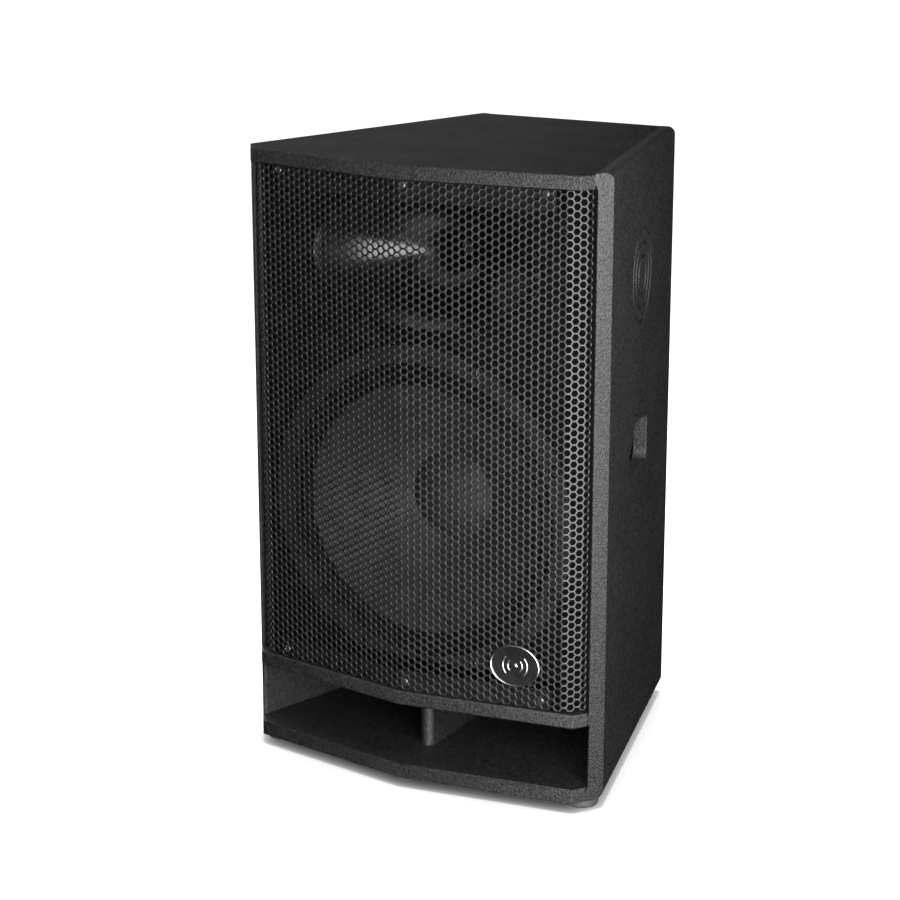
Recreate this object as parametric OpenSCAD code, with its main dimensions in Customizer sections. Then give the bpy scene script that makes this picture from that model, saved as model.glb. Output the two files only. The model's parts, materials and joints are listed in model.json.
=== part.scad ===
// Two-way 15-inch PA speaker cabinet with a creased grille and slot ports.
// X runs to the right as seen from the front, Y to the back, Z up.
// The origin is on the floor under the middle of the bounding box.

/* [Cabinet] */
// Width at the front corners
cab_w = 462; // [450:2:480]
// Depth from the front crease to the back face
cab_d = 427; // [420:1:445]
// Height of the wooden box, without its feet
cab_h = 710; // [700:5:740]
// Width at the back face
back_w = 272; // [264:2:290]
// Thickness of every outer board
board_t = 17; // [15:0.5:18]
// Radius of the long side edges at the top and the bottom
edge_r = 9; // [4:1:14]

/* [Front shape] */
// How far the front crease stands ahead of the two bends beside it
vee_depth = 31.5; // [20:0.5:36]
// How far the front crease stands ahead of the front corners
corner_depth = 65; // [60:1:70]
// How far each bend lies inboard of its front corner
bend_inset = 22.5; // [20:0.5:26]

/* [Ports and feet] */
// Clear height of the two slot ports
port_h = 72.4; // [50:0.2:76]
// Depth of the port duct from the front crease
duct_d = 190; // [120:1:196]
// How far the port divider stands behind the front crease
divider_setback = 61.5; // [40:0.5:90]
// Height of the rubber feet
foot_h = 12; // [8:0.5:16]
// Radius of the rubber feet
foot_r = 20; // [15:0.5:22]

/* [Drivers] */
// Outer radius of the woofer frame
woofer_r = 195; // [190:0.5:196]
// Height of the woofer axis above the underside of the box
woofer_up = 307; // [305:1:309]
// Half width of the horn mouth
horn_a = 139; // [120:1:142]
// Half height of the horn mouth
horn_b = 75; // [60:1:76]
// Height of the horn axis above the underside of the box
horn_up = 594; // [590:1:598]
// How far the baffle face stands behind the front crease
baffle_setback = 57; // [55:0.5:62]

/* [Handles and pole socket] */
// Length of the finger slot in each side
slot_l = 106; // [90:1:110]
// Height of the finger slot in each side
slot_h = 58; // [45:1:60]
// Bore radius of the pole socket, for a 35 mm pole
pole_r = 17.8; // [17.6:0.1:18.2]
// Depth of the pole socket
pole_depth = 85; // [70:1:100]

/* [Hidden] */
$fn = 96;

small_fn = 32;              // facets of screws and other small round pieces
eps = 1;                    // how far a cutter runs past the face it opens
fit_gap = 0.5;              // clearance around pieces let into the boards

// Plan of the box
front_y = -cab_d / 2;
back_y = cab_d / 2;
box_z = foot_h;
box_top = box_z + cab_h;
inner_floor = box_z + board_t;
inner_roof = box_top - board_t;
corner = [cab_w / 2, front_y + corner_depth];
bend = [corner.x - bend_inset, front_y + vee_depth];
side_angle = atan((cab_w - back_w) / 2 / (cab_d - corner_depth));
side_len = (back_y - corner.y) / cos(side_angle);
facet = (bend - corner) / norm(bend - corner);
vee_angle = atan(vee_depth / bend.x);

// Half width of the box at a depth y, measured to a line inset from its outer face
function side_x(y, inset) =
  corner.x - (y - corner.y) * tan(side_angle) - inset / cos(side_angle);

// Where the inner face of a side board meets the short front facet
inner_front_run = -board_t / cos(side_angle) / (facet.x + facet.y * tan(side_angle));
inner_front = corner + inner_front_run * facet;

// Adds the left half to the right half of a plan outline
function both_sides(pts) =
  concat(pts, [for (i = [len(pts) - 1 : -1 : 0]) if (pts[i].x > 0) [-pts[i].x, pts[i].y]]);

// Points of an ellipse, for straight-sided oval pieces
function ellipse(a, b, n = 72) = [for (i = [0 : n - 1]) [a * cos(360 * i / n), b * sin(360 * i / n)]];

shelf_z = inner_floor + port_h;
shelf_top = shelf_z + board_t;
duct_end = front_y + duct_d;
baffle_y = front_y + baffle_setback;
baffle_back = baffle_y + board_t;
back_inner = back_y - board_t;

// Grille sheet
grille_t = 1.5;
grille_setback = 3.5;
grille_bend_x = 195;
grille_return = [18, 16.5];
grille_lip = 5;              // straight back edge beyond each return
grille_gap = 1;
grille_screw_x = 168;
grille_centre_screw_x = 6;
grille_screw_in = [5, 11];   // below the roof, above the shelf
cleat_h = 24;
cleat_half_w = 180;
vee_slope = tan(vee_angle);
function grille_face_y(x) = front_y + grille_setback / cos(vee_angle) + abs(x) * vee_slope;

// Badge, placed on the right half of the grille
badge_at = [139, 167];
badge_a = 29.5;
badge_b = 24.5;
badge_rim_w = 2.2;

// Woofer, radii and depths behind the baffle face
woofer_z = box_z + woofer_up;
rim_t = 5;
cutout_r = 176;
cone_out_r = 150;
cone_in_r = 52;
cone_depth = 70;
coil_r = 38.3;
woofer_pcd_r = 185.5;
woofer_screw_r = 2.6;
spider_z = -90;
top_plate_z = -112;
magnet_z = -120;
back_plate_z = -140;
woofer_end_z = -149;

// Horn and compression driver, depths behind the baffle face
horn_z = box_z + horn_up;
horn_flange_t = 4;
horn_flange_w = 12;
horn_wall = 3;
horn_depth = 115;
throat_r = 12.5;
horn_bolt_r = 3;
horn_bolt_pcd_r = 38;
tweeter_face_z = -horn_depth;
tweeter_gap_z = tweeter_face_z - 6;      // back of the front plate
tweeter_plate_z = tweeter_gap_z - 18;    // back of the magnet
tweeter_back_z = tweeter_plate_z - 6;    // back of the back plate
tweeter_coil_r = 22.3;

brace_top = horn_z - horn_b - 2;         // top face of the window brace

// Handle slot, measured along the side board from the front corner
slot_mid = 175;
slot_z = box_z + 367;
slot_r = 12;
slot_cut = 30;
ornament_mid = 176;
ornament_z = box_z + 567;
cup_in = [132, 118, 42];     // inside length, height and depth of a handle cup
cup_wall = 3;
cup_flange = 13;
cup_screw_out = 8;           // from the cup's inside to the screw centres
cup_lift = 22;               // how far the cup reaches above the slot's middle

// Rear connector dish
dish_z = box_z + 235;
plate_size = [176, 136];
plate_t = 2;
gasket_t = 1.5;
rebate_depth = 6;
dish_size = [140, 100];
dish_depth = 24;
socket_x = 34;
socket_r = 12;
switch_z = -30;
switch_travel = 6;
slider_size = [7, 5];

// Crossover on the back board
board_size = [150, 1.6, 110];
board_z = box_z + 410;
standoff_h = 12;

// Pole socket and feet
pole_y = 40;
pole_wall = 2.2;
pole_flange_r = 50;
pole_flange_t = 3;
pole_pcd_r = 40;
foot_front = [203, front_y + 67];
foot_back = [118, back_y - 34];
foot_spots = [foot_front, foot_back, [-foot_front.x, foot_front.y], [-foot_back.x, foot_back.y]];

paint = [0.17, 0.18, 0.18];
steel = [0.55, 0.56, 0.58];
dark_metal = [0.2, 0.2, 0.22];
plastic = [0.12, 0.12, 0.13];
wood = [0.72, 0.58, 0.4];

// ---------------------------------------------------------------- helpers

// Local frame of the right side board: outer face at x = 0, y runs to the back
module on_right_side() {
  translate([corner.x, corner.y, 0]) rotate([0, 0, side_angle]) children();
}

// Children appear on the right or, mirrored, on the left
module on_side(side) {
  if (side > 0) children();
  else mirror([1, 0, 0]) children();
}

// Local frame of a driver: origin on the baffle face, +z to the front
module on_baffle(z) {
  translate([0, baffle_y, z]) rotate([90, 0, 0]) children();
}

// A tube between two heights
module tube(r_out, r_in, z_low, z_high) {
  translate([0, 0, z_low]) difference() {
    cylinder(r = r_out, h = z_high - z_low);
    translate([0, 0, -eps]) cylinder(r = r_in, h = z_high - z_low + 2 * eps);
  }
}

// Children repeated evenly around a circle
module around(count, r, start = 0) {
  for (i = [0 : count - 1]) rotate([0, 0, start + 360 * i / count]) translate([r, 0, 0]) children();
}

// A screw that points down -z, its head resting on z = 0
module screw(r, length, head_r, head_h) {
  translate([0, 0, -length]) cylinder(r = r, h = length + eps, $fn = small_fn);
  cylinder(r = head_r, h = head_h, $fn = small_fn);
}

// A flat outline with rounded corners, centred on the origin
module rounded_rect(w, h, r) {
  square([w - 2 * r, h], center = true);
  square([w, h - 2 * r], center = true);
  for (sx = [-1, 1], sy = [-1, 1])
    translate([sx * (w / 2 - r), sy * (h / 2 - r)]) circle(r = r, $fn = small_fn);
}

// ---------------------------------------------------------------- cabinet boards

// Horizontal board with the creased front edge, from its underside z back to rear_y
module creased_board(z, rear_y) {
  outline = both_sides([[0, front_y], bend, inner_front, [side_x(rear_y, board_t), rear_y]]);
  translate([0, 0, z]) linear_extrude(board_t) polygon(outline);
}

// Square corner waste outside the rounded long edge
module edge_waste() {
  difference() {
    square(edge_r + eps);
    circle(r = edge_r, $fn = small_fn * 2);
  }
}

module side_profile() {
  difference() {
    translate([-board_t, box_z]) square([board_t, cab_h]);
    translate([-edge_r, box_top - edge_r]) edge_waste();
    translate([-edge_r, box_z + edge_r]) mirror([0, 1]) edge_waste();
  }
}

// Finger slot outline with one sloped corner at its upper front
module slot_outline() {
  difference() {
    rounded_rect(slot_l, slot_h, slot_r);
    translate([-slot_l / 2, slot_h / 2]) rotate(45) square(slot_cut * sqrt(2), center = true);
  }
}

// Children drawn in the plane of the side board, x along the board and y up
module on_side_face(along, z, depth) {
  translate([-depth, along, z]) rotate([90, 0, 90]) children();
}

// Plain routed rings that decorate the side
module ornament_grooves() {
  groove_w = 4;
  groove_depth = 2.5;
  on_side_face(ornament_mid, ornament_z, groove_depth) {
    for (r = [56, 40, 24]) tube(r, r - groove_w, 0, groove_depth + eps);
  }
}

module side_panel() {
  sweep_front = 40;
  sweep_len = side_len + 2 * sweep_front;
  outline = [corner, inner_front, [side_x(back_y, board_t), back_y], [side_x(back_y, 0), back_y]];
  difference() {
    intersection() {
      linear_extrude(box_top + eps) polygon(outline);
      on_right_side() translate([0, side_len + sweep_front, 0]) rotate([90, 0, 0])
        linear_extrude(sweep_len) side_profile();
    }
    on_right_side() {
      on_side_face(slot_mid, slot_z, board_t + eps) linear_extrude(board_t + 2 * eps) slot_outline();
      ornament_grooves();
      handle_screw_holes();
    }
  }
}

module left_side_panel() { color(paint) on_side(-1) side_panel(); }
module right_side_panel() { color(paint) on_side(1) side_panel(); }
module top_panel() { color(paint) creased_board(inner_roof, back_y); }

module bottom_panel() {
  color(paint) difference() {
    creased_board(box_z, back_y);
    translate([0, pole_y, box_z - eps]) cylinder(r = pole_r + pole_wall, h = board_t + 2 * eps);
    translate([0, pole_y, box_z]) around(4, pole_pcd_r, 45) screw_hole_up(2, 14);
    for (spot = foot_spots) translate([spot.x, spot.y, box_z]) screw_hole_up(2.2, 14);
  }
}

// Blind pilot hole that starts below z = 0 and runs up
module screw_hole_up(r, depth) {
  translate([0, 0, -eps]) cylinder(r = r, h = depth + eps, $fn = small_fn);
}

module back_panel() {
  outline = both_sides([
    [side_x(back_inner, board_t), back_inner],
    [side_x(back_y, board_t), back_y]
  ]);
  color(paint) difference() {
    translate([0, 0, inner_floor]) linear_extrude(inner_roof - inner_floor) polygon(outline);
    on_back(dish_z) {
      translate([0, 0, -rebate_depth]) linear_extrude(rebate_depth + eps)
        square(plate_size, center = true);
      translate([0, 0, -board_t - eps]) linear_extrude(board_t + 2 * eps)
        square([dish_size.x + 1, dish_size.y + 1], center = true);
      connector_screw_spots() translate([0, 0, -rebate_depth - 8]) cylinder(r = 2, h = 12, $fn = small_fn);
    }
    crossover_spots() rotate([-90, 0, 0]) translate([0, 0, -eps])
      cylinder(r = 1.5, h = 9 + eps, $fn = small_fn);
  }
}

module front_baffle() {
  outline = both_sides([
    [side_x(baffle_y, board_t), baffle_y],
    [side_x(baffle_back, board_t), baffle_back]
  ]);
  color(dark_metal) difference() {
    translate([0, 0, shelf_top]) linear_extrude(inner_roof - shelf_top) polygon(outline);
    on_baffle(woofer_z) {
      translate([0, 0, -board_t - eps]) cylinder(r = cutout_r, h = board_t + 2 * eps);
      around(8, woofer_pcd_r, 22.5) translate([0, 0, -board_t - eps])
        cylinder(r = woofer_screw_r, h = board_t + 2 * eps, $fn = small_fn);
    }
    on_baffle(horn_z) {
      translate([0, 0, -board_t - eps]) linear_extrude(board_t + 2 * eps)
        polygon(ellipse(horn_a + horn_wall + fit_gap, horn_b + horn_wall + fit_gap));
      horn_screw_spots() translate([0, 0, -15]) cylinder(r = 1.8, h = 15 + eps, $fn = small_fn);
    }
  }
}

module port_shelf() { color(paint) creased_board(shelf_z, duct_end); }

module port_divider() {
  divider_front = front_y + divider_setback;
  color(paint) translate([-board_t / 2, divider_front, inner_floor])
    cube([board_t, duct_end - divider_front, port_h]);
}

// Horizontal brace with a large window, between the drivers
module window_brace() {
  brace_t = 13;
  rim = 46;
  outline = both_sides([
    [side_x(baffle_back, board_t), baffle_back],
    [side_x(back_inner, board_t), back_inner]
  ]);
  window = both_sides([
    [side_x(baffle_back + rim, board_t + rim), baffle_back + rim],
    [side_x(back_inner - rim, board_t + rim), back_inner - rim]
  ]);
  color(wood) translate([0, 0, brace_top - brace_t]) linear_extrude(brace_t) difference() {
    polygon(outline);
    polygon(window);
  }
}

// Batten between the grille and the baffle
module grille_cleat(z) {
  front = grille_t / cos(vee_angle);
  outline = both_sides([
    [0, grille_face_y(0) + front],
    [cleat_half_w, grille_face_y(cleat_half_w) + front],
    [cleat_half_w, baffle_y]
  ]);
  translate([0, 0, z]) linear_extrude(cleat_h) polygon(outline);
}

module top_grille_cleat() {
  color(wood) difference() {
    grille_cleat(inner_roof - cleat_h);
    on_baffle(horn_z) translate([0, 0, -eps]) linear_extrude(horn_flange_t + fit_gap + eps)
      polygon(ellipse(horn_a + horn_flange_w + fit_gap, horn_b + horn_flange_w + fit_gap));
    grille_screw_bores();
  }
}

module bottom_grille_cleat() {
  frame_room = 9;
  color(wood) difference() {
    grille_cleat(shelf_top);
    on_baffle(woofer_z) translate([0, 0, -eps]) cylinder(r = woofer_r + 1, h = frame_room + eps);
    grille_screw_bores();
  }
}

// ---------------------------------------------------------------- grille and badge

// Local frame on the front of the grille at a place along x: +z points out of the sheet
module on_grille(x, z) {
  lean = x > 0 ? vee_angle : -vee_angle;
  translate([x, grille_face_y(x), z]) rotate([0, 0, lean]) rotate([90, 0, 0]) children();
}

module grille_screw_spots() {
  for (x = [-grille_screw_x, grille_centre_screw_x, grille_screw_x]) {
    on_grille(x, inner_roof - grille_screw_in[0]) children();
    on_grille(x, shelf_top + grille_screw_in[1]) children();
  }
}

module grille_screw_bores() {
  grille_screw_spots() translate([0, 0, -18]) cylinder(r = 1.6, h = 18 + eps, $fn = small_fn);
}

// Right half of the sheet's front line, from the crease to the end of its lip
function sheet_front() =
  let (tip = [grille_bend_x, grille_face_y(grille_bend_x)], edge = tip + grille_return)
    [[0, grille_face_y(0)], tip, edge, edge + [0, grille_lip]];

// The same line on the back of the sheet, from the end of the lip to the crease
function sheet_rear() =
  let (
    front = sheet_front(),
    along = grille_return / norm(grille_return),
    shifted_tip = front[1] + [-along.y, along.x] * grille_t,
    lip_x = front[2].x - grille_t,
    bend_y = shifted_tip.y + (lip_x - shifted_tip.x) * along.y / along.x,
    tip_x = front[1].x - grille_t / 3
  ) [
    [lip_x, front[3].y],
    [lip_x, bend_y],
    [tip_x, grille_face_y(tip_x) + grille_t / cos(vee_angle)],
    [0, grille_face_y(0) + grille_t / cos(vee_angle)]
  ];

module grille() {
  color(dark_metal) difference() {
    translate([0, 0, shelf_top + grille_gap]) linear_extrude(inner_roof - shelf_top - 2 * grille_gap)
      polygon(both_sides(concat(sheet_front(), sheet_rear())));
    grille_screw_bores();
  }
}

module grille_screws() {
  color(steel) grille_screw_spots() screw(1.6, 16, 3.6, 2.2);
}

module badge_plate() {
  color("black") on_grille(badge_at.x, badge_at.y) linear_extrude(2)
    polygon(ellipse(badge_a - badge_rim_w, badge_b - badge_rim_w));
}

module badge_rim() {
  color("silver") on_grille(badge_at.x, badge_at.y) linear_extrude(2.8) difference() {
    polygon(ellipse(badge_a, badge_b));
    polygon(ellipse(badge_a - badge_rim_w, badge_b - badge_rim_w));
  }
}

// ---------------------------------------------------------------- woofer

module woofer_frame() {
  basket = [
    [172, 0], [175.5, 0], [175.5, -12], [112, top_plate_z + 24], [112, top_plate_z + 14],
    [82, top_plate_z + 8], [82, top_plate_z], [48, top_plate_z], [48, top_plate_z + 4],
    [79, top_plate_z + 4], [79, top_plate_z + 11], [109, top_plate_z + 17],
    [109, top_plate_z + 25], [172, -10]
  ];
  leg_w = 34;
  window_top = -22;
  window_low = top_plate_z + 26;
  color(dark_metal) on_baffle(woofer_z) difference() {
    union() {
      rotate_extrude() polygon(basket);
      tube(woofer_r, 172, 0, rim_t);
    }
    for (i = [0 : 7]) rotate([0, 0, 45 * i]) translate([leg_w * 2.45, -leg_w, window_low])
      cube([leg_w * 3, 2 * leg_w, window_top - window_low]);
    around(8, woofer_pcd_r, 22.5) translate([0, 0, -eps])
      cylinder(r = woofer_screw_r, h = rim_t + 2 * eps, $fn = small_fn);
  }
}

// Flat ring with a notch around each screw
module woofer_gasket() {
  notch_r = 8;
  color("dimgray") on_baffle(woofer_z) difference() {
    tube(woofer_r - 2, 172.5, rim_t, rim_t + 2.5);
    around(8, woofer_pcd_r, 22.5) translate([0, 0, rim_t - eps]) cylinder(r = notch_r, h = 4 + eps);
  }
}

// Corrugated cloth edge between the cone and the frame
module woofer_surround() {
  waves = 2.5;
  steps = 40;
  inner = cone_out_r - 4;
  span = 172 - inner;
  thick = 0.8;
  function wave(t) = rim_t - 2.6 + 2.2 * sin(360 * waves * t);
  top = [for (i = [0 : steps]) [inner + span * i / steps, wave(i / steps) + thick]];
  low = [for (i = [steps : -1 : 0]) [inner + span * i / steps, wave(i / steps)]];
  color("black") on_baffle(woofer_z) rotate_extrude() polygon(concat(top, low));
}

// Depth of the cone's front face at a radius
function cone_z(r) = -cone_depth + (cone_depth + 1.5) * pow((r - cone_in_r) / (cone_out_r - cone_in_r), 1.12);

module woofer_cone() {
  steps = 10;
  thick = 1.6;
  function radius(i) = cone_in_r + (cone_out_r - cone_in_r) * i / steps;
  front = [for (i = [0 : steps]) [radius(i), cone_z(radius(i))]];
  rear = [for (i = [steps : -1 : 0]) [radius(i), cone_z(radius(i)) - thick]];
  neck_rear = [[coil_r + 0.3, -cone_depth - 11 - thick], [coil_r + 0.3, -cone_depth - 11]];
  color([0.2, 0.2, 0.2]) on_baffle(woofer_z) rotate_extrude() polygon(concat(front, rear, neck_rear));
}

module woofer_dust_cap() {
  rise = 17;
  edge = cone_in_r - 0.2;
  ball_r = (edge * edge + rise * rise) / (2 * rise);
  steps = 12;
  function arc_z(r, ball) = -cone_depth + rise - ball_r + sqrt(ball * ball - r * r);
  outer = [for (i = [0 : steps]) [edge * i / steps, arc_z(edge * i / steps, ball_r)]];
  inner_edge = edge - 1.8;
  inner = [
    for (i = [steps : -1 : 0]) [inner_edge * i / steps, arc_z(inner_edge * i / steps, ball_r - 1)]
  ];
  color([0.15, 0.15, 0.15]) on_baffle(woofer_z) rotate_extrude() polygon(concat(outer, inner));
}

module woofer_voice_coil() {
  color("peru") on_baffle(woofer_z) {
    tube(coil_r + 0.3, coil_r - 0.1, -124, -cone_depth - 6);
    tube(coil_r + 0.9, coil_r + 0.3, -124, -107);
  }
}

// Corrugated disc that centres the coil
module woofer_spider() {
  steps = 60;
  waves = 5;
  inner = coil_r + 0.3;
  outer = 109;
  thick = 0.8;
  function wave(t) = spider_z - 2 + 1.8 * sin(360 * waves * t);
  top = [for (i = [0 : steps]) [inner + (outer - inner) * i / steps, wave(i / steps) + thick]];
  low = [for (i = [steps : -1 : 0]) [inner + (outer - inner) * i / steps, wave(i / steps)]];
  color("goldenrod") on_baffle(woofer_z) rotate_extrude() polygon(concat(top, low));
}

module woofer_top_plate() {
  color(steel) on_baffle(woofer_z) tube(80, coil_r + 1.5, magnet_z, top_plate_z);
}

module woofer_magnet() {
  color([0.25, 0.25, 0.25]) on_baffle(woofer_z) tube(88, 46, back_plate_z, magnet_z);
}

module woofer_back_plate() {
  color(steel) on_baffle(woofer_z) {
    tube(82, 12, woofer_end_z, back_plate_z);
    tube(coil_r - 0.9, 12, back_plate_z - eps, top_plate_z);
  }
}

// Tag strip on the top of the basket, with two solder tags
module woofer_terminals() {
  strip = [2.5, 28, 9];
  tag = [9, 6, 5];
  tag_pitch = 16;
  color("firebrick") on_baffle(woofer_z) rotate([0, 0, 90])
    translate([112, -strip.y / 2, top_plate_z + 14]) {
      cube(strip);
      for (side = [0, 1])
        translate([strip.x, (strip.y - tag_pitch - tag.y) / 2 + tag_pitch * side, 2]) cube(tag);
    }
}

module woofer_screws() {
  color(steel) on_baffle(woofer_z) translate([0, 0, rim_t])
    around(8, woofer_pcd_r, 22.5) screw(woofer_screw_r, 22, 5.2, 3);
}

// ---------------------------------------------------------------- horn and compression driver

module horn_screw_spots() {
  for (angle = [0, 60, 120, 180, 240, 300])
    translate([(horn_a + 7) * cos(angle), (horn_b + 7) * sin(angle), 0]) children();
}

// Shell lofted from an oval mouth to a round throat
module horn_shell() {
  n = 48;
  rings = 9;
  function flare(t) = pow(t, 2.1);
  function ring_pts(t, grow, z) = [
    for (i = [0 : n - 1]) [
      (throat_r + (horn_a - throat_r) * flare(t) + grow) * cos(360 * i / n),
      (throat_r + (horn_b - throat_r) * flare(t) + grow) * sin(360 * i / n),
      z
    ]
  ];
  function depth(t) = -horn_depth + (horn_depth + horn_flange_t) * t;
  inner = [for (k = [0 : rings]) each ring_pts(k / rings, 0, depth(k / rings))];
  outer = [for (k = [0 : rings]) each ring_pts(k / rings, horn_wall, depth(k / rings))];
  count = (rings + 1) * n;
  function quad(a, b, c, d) = [[a, c, b], [a, d, c]];
  walls = [
    for (k = [0 : rings - 1], i = [0 : n - 1])
      let (j = (i + 1) % n, low = k * n, high = low + n)
        each concat(
          quad(low + i, high + i, high + j, low + j),
          quad(count + low + j, count + high + j, count + high + i, count + low + i)
        )
  ];
  rims = [
    for (i = [0 : n - 1])
      let (j = (i + 1) % n, mouth = rings * n)
        each concat(
          quad(i, j, count + j, count + i),
          quad(mouth + j, mouth + i, count + mouth + i, count + mouth + j)
        )
  ];
  polyhedron(points = concat(inner, outer), faces = concat(walls, rims));
}

module horn() {
  color(plastic) on_baffle(horn_z) {
    horn_shell();
    linear_extrude(horn_flange_t) difference() {
      polygon(ellipse(horn_a + horn_flange_w, horn_b + horn_flange_w));
      polygon(ellipse(horn_a + horn_wall - 0.5, horn_b + horn_wall - 0.5));
      horn_screw_spots() circle(r = 1.8, $fn = small_fn);
    }
    difference() {
      tube(50, throat_r + horn_wall - 0.5, -horn_depth, -horn_depth + 7);
      around(2, horn_bolt_pcd_r) translate([0, 0, -horn_depth - eps])
        cylinder(r = horn_bolt_r, h = 9, $fn = small_fn);
    }
  }
}

module horn_screws() {
  color(steel) on_baffle(horn_z) translate([0, 0, horn_flange_t]) horn_screw_spots()
    screw(1.8, 18, 3.8, 2.4);
}

module tweeter_front_plate() {
  color(steel) on_baffle(horn_z) difference() {
    tube(58, throat_r, tweeter_gap_z, tweeter_face_z);
    around(2, horn_bolt_pcd_r) translate([0, 0, tweeter_gap_z - eps])
      cylinder(r = horn_bolt_r, h = tweeter_face_z - tweeter_gap_z + 2 * eps, $fn = small_fn);
  }
}

module tweeter_magnet() {
  color([0.25, 0.25, 0.25]) on_baffle(horn_z) tube(60, 42, tweeter_plate_z, tweeter_gap_z);
}

module tweeter_back_plate() {
  color(steel) on_baffle(horn_z) tube(56, tweeter_coil_r + 0.4, tweeter_back_z, tweeter_plate_z);
}

module tweeter_phase_plug() {
  plug_r = tweeter_coil_r - 0.9;
  plug = [
    [throat_r, tweeter_gap_z], [plug_r, tweeter_gap_z], [plug_r, tweeter_back_z + 1],
    [14, tweeter_back_z + 3], [9, tweeter_back_z + 3.5]
  ];
  color(steel) on_baffle(horn_z) rotate_extrude() polygon(plug);
}

module tweeter_diaphragm() {
  dome_z = tweeter_back_z - 3;
  color("lightgray") on_baffle(horn_z) {
    tube(tweeter_coil_r, tweeter_coil_r - 0.4, dome_z, dome_z + 8);
    rotate_extrude() polygon([
      [0, dome_z + 3], [10, dome_z + 2], [18, dome_z - 0.5], [tweeter_coil_r, dome_z - 2],
      [tweeter_coil_r, dome_z], [18, dome_z + 0.5], [10, dome_z + 3], [0, dome_z + 4]
    ]);
  }
}

module tweeter_suspension() {
  film_z = tweeter_back_z - 2.6;
  color("orange") on_baffle(horn_z) tube(34, tweeter_coil_r, film_z, film_z + 0.6);
}

module tweeter_rear_cover() {
  cover_h = 28;
  cover_t = 4;
  cover_z = tweeter_back_z - cover_h;
  color(plastic) on_baffle(horn_z) difference() {
    translate([0, 0, cover_z]) cylinder(r = 50, h = cover_h);
    translate([0, 0, cover_z + cover_t]) cylinder(r = 46, h = cover_h);
  }
}

module tweeter_bolts() {
  color(dark_metal) on_baffle(horn_z) around(2, horn_bolt_pcd_r) translate([0, 0, -horn_depth + 7])
    screw(horn_bolt_r, 13, 5.5, 4);
}

// ---------------------------------------------------------------- crossover, wiring, damping

module crossover_spots() {
  for (sx = [-1, 1], sz = [-1, 1])
    translate([sx * (board_size.x / 2 - 8), back_inner, board_z + sz * (board_size.z / 2 - 8)])
      children();
}

board_back = back_inner - standoff_h;
board_front = board_back - board_size.y;

module crossover_board() {
  color("darkgreen") difference() {
    translate([-board_size.x / 2, board_front, board_z - board_size.z / 2]) cube(board_size);
    crossover_spots() rotate([90, 0, 0]) cylinder(r = 1.5, h = standoff_h + 4, $fn = small_fn);
  }
}

module crossover_standoffs() {
  color(steel) crossover_spots() rotate([90, 0, 0]) {
    tube(4, 1.5, 0, standoff_h, $fn = small_fn);
    translate([0, 0, standoff_h + board_size.y]) screw(1.5, standoff_h + board_size.y + 8, 3, 2);
  }
}

module crossover_inductors() {
  coil_h = 24;
  places = [[-44, -22], [20, -28]];
  color("chocolate") for (place = places)
    translate([place.x, board_front, board_z + place.y]) rotate([90, 0, 0]) tube(24, 11, 0, coil_h);
}

module crossover_capacitors() {
  can_r = 10;
  can_l = 36;
  can_pitch = 44;
  first_x = -62;
  color("gold") for (i = [0 : 2])
    translate([first_x + can_pitch * i, board_front - can_r, board_z + 30])
      rotate([0, 90, 0]) cylinder(r = can_r, h = can_l);
}

module crossover_resistors() {
  body = [10, 10, 44];
  pitch = 13;
  color("whitesmoke") for (i = [0, 1])
    translate([48 + pitch * i, board_front - body.y, board_z - 40]) cube(body);
}

// Straight run of cable between two points, with a round knuckle at the first
module cable_run(from, to, r) {
  knuckle = 0.6;
  run = to - from;
  flat = norm([run.x, run.y]);
  translate(from) {
    sphere(r = r + knuckle, $fn = small_fn);
    rotate([0, atan2(flat, run.z), atan2(run.y, run.x)]) cylinder(r = r, h = norm(run), $fn = small_fn);
  }
}

module cable(points, r) {
  for (i = [0 : len(points) - 2]) cable_run(points[i], points[i + 1], r);
}

module wiring_loom() {
  cable_r = 3;
  lead_y = board_front - cable_r - 1;
  color("red") {
    cable([[0, 150, dish_z + 30], [0, 150, board_z - 64], [0, lead_y - 20, board_z - 60]], cable_r);
    cable([[-30, lead_y - 20, board_z - 62], [-30, 120, board_z - 80], [0, 30, woofer_z + 118],
      [0, baffle_y + 92, woofer_z + 124]], cable_r);
    cable([[80, lead_y - 4, board_z + 20], [80, 120, board_z + 100], [66, 40, horn_z - 60]], cable_r);
  }
}

// Felt pad on a side board, cut away around the brace and the handle cup
module side_damping_pad() {
  pad_t = 18;
  pad_front = 62;
  pad_len = 264;
  edge_gap = 10;
  brace_room = [-20, 7];       // cut from below to above the brace's top
  cup_room = [22, 90, 100];    // cut beside, below and above the slot's middle
  cut_y = slot_mid - cup_in.x / 2 - cup_room.x;
  on_right_side() difference() {
    translate([-board_t - pad_t, pad_front, shelf_top + edge_gap])
      cube([pad_t, pad_len, inner_roof - shelf_top - 2 * edge_gap]);
    translate([-board_t - pad_t - eps, 0, brace_top + brace_room[0]])
      cube([pad_t + 2 * eps, side_len, brace_room[1] - brace_room[0]]);
    translate([-board_t - pad_t - eps, cut_y, slot_z - cup_room.y])
      cube([pad_t + 2 * eps, cup_in.x + 2 * cup_room.x, cup_room.y + cup_room.z]);
  }
}

module side_damping_pads() {
  color("slategray") for (side = [-1, 1]) on_side(side) side_damping_pad();
}

module back_damping_pad() {
  pad = [190, 20, 132];
  color("slategray") translate([-pad.x / 2, back_inner - pad.y, horn_z - pad.z / 2]) cube(pad);
}

// ---------------------------------------------------------------- rear connectors

// Local frame on the back face: x to the left as seen from behind, y up, +z out of the back
module on_back(z) {
  translate([0, back_y, z]) rotate([90, 0, 180]) children();
}

module connector_screw_spots() {
  for (sx = [-1, 0, 1], sy = [-1, 1])
    translate([sx * (plate_size.x / 2 - 8), sy * (plate_size.y / 2 - 8), 0]) children();
}

plate_back = -rebate_depth + gasket_t;
dish_floor = plate_back - dish_depth;

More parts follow.
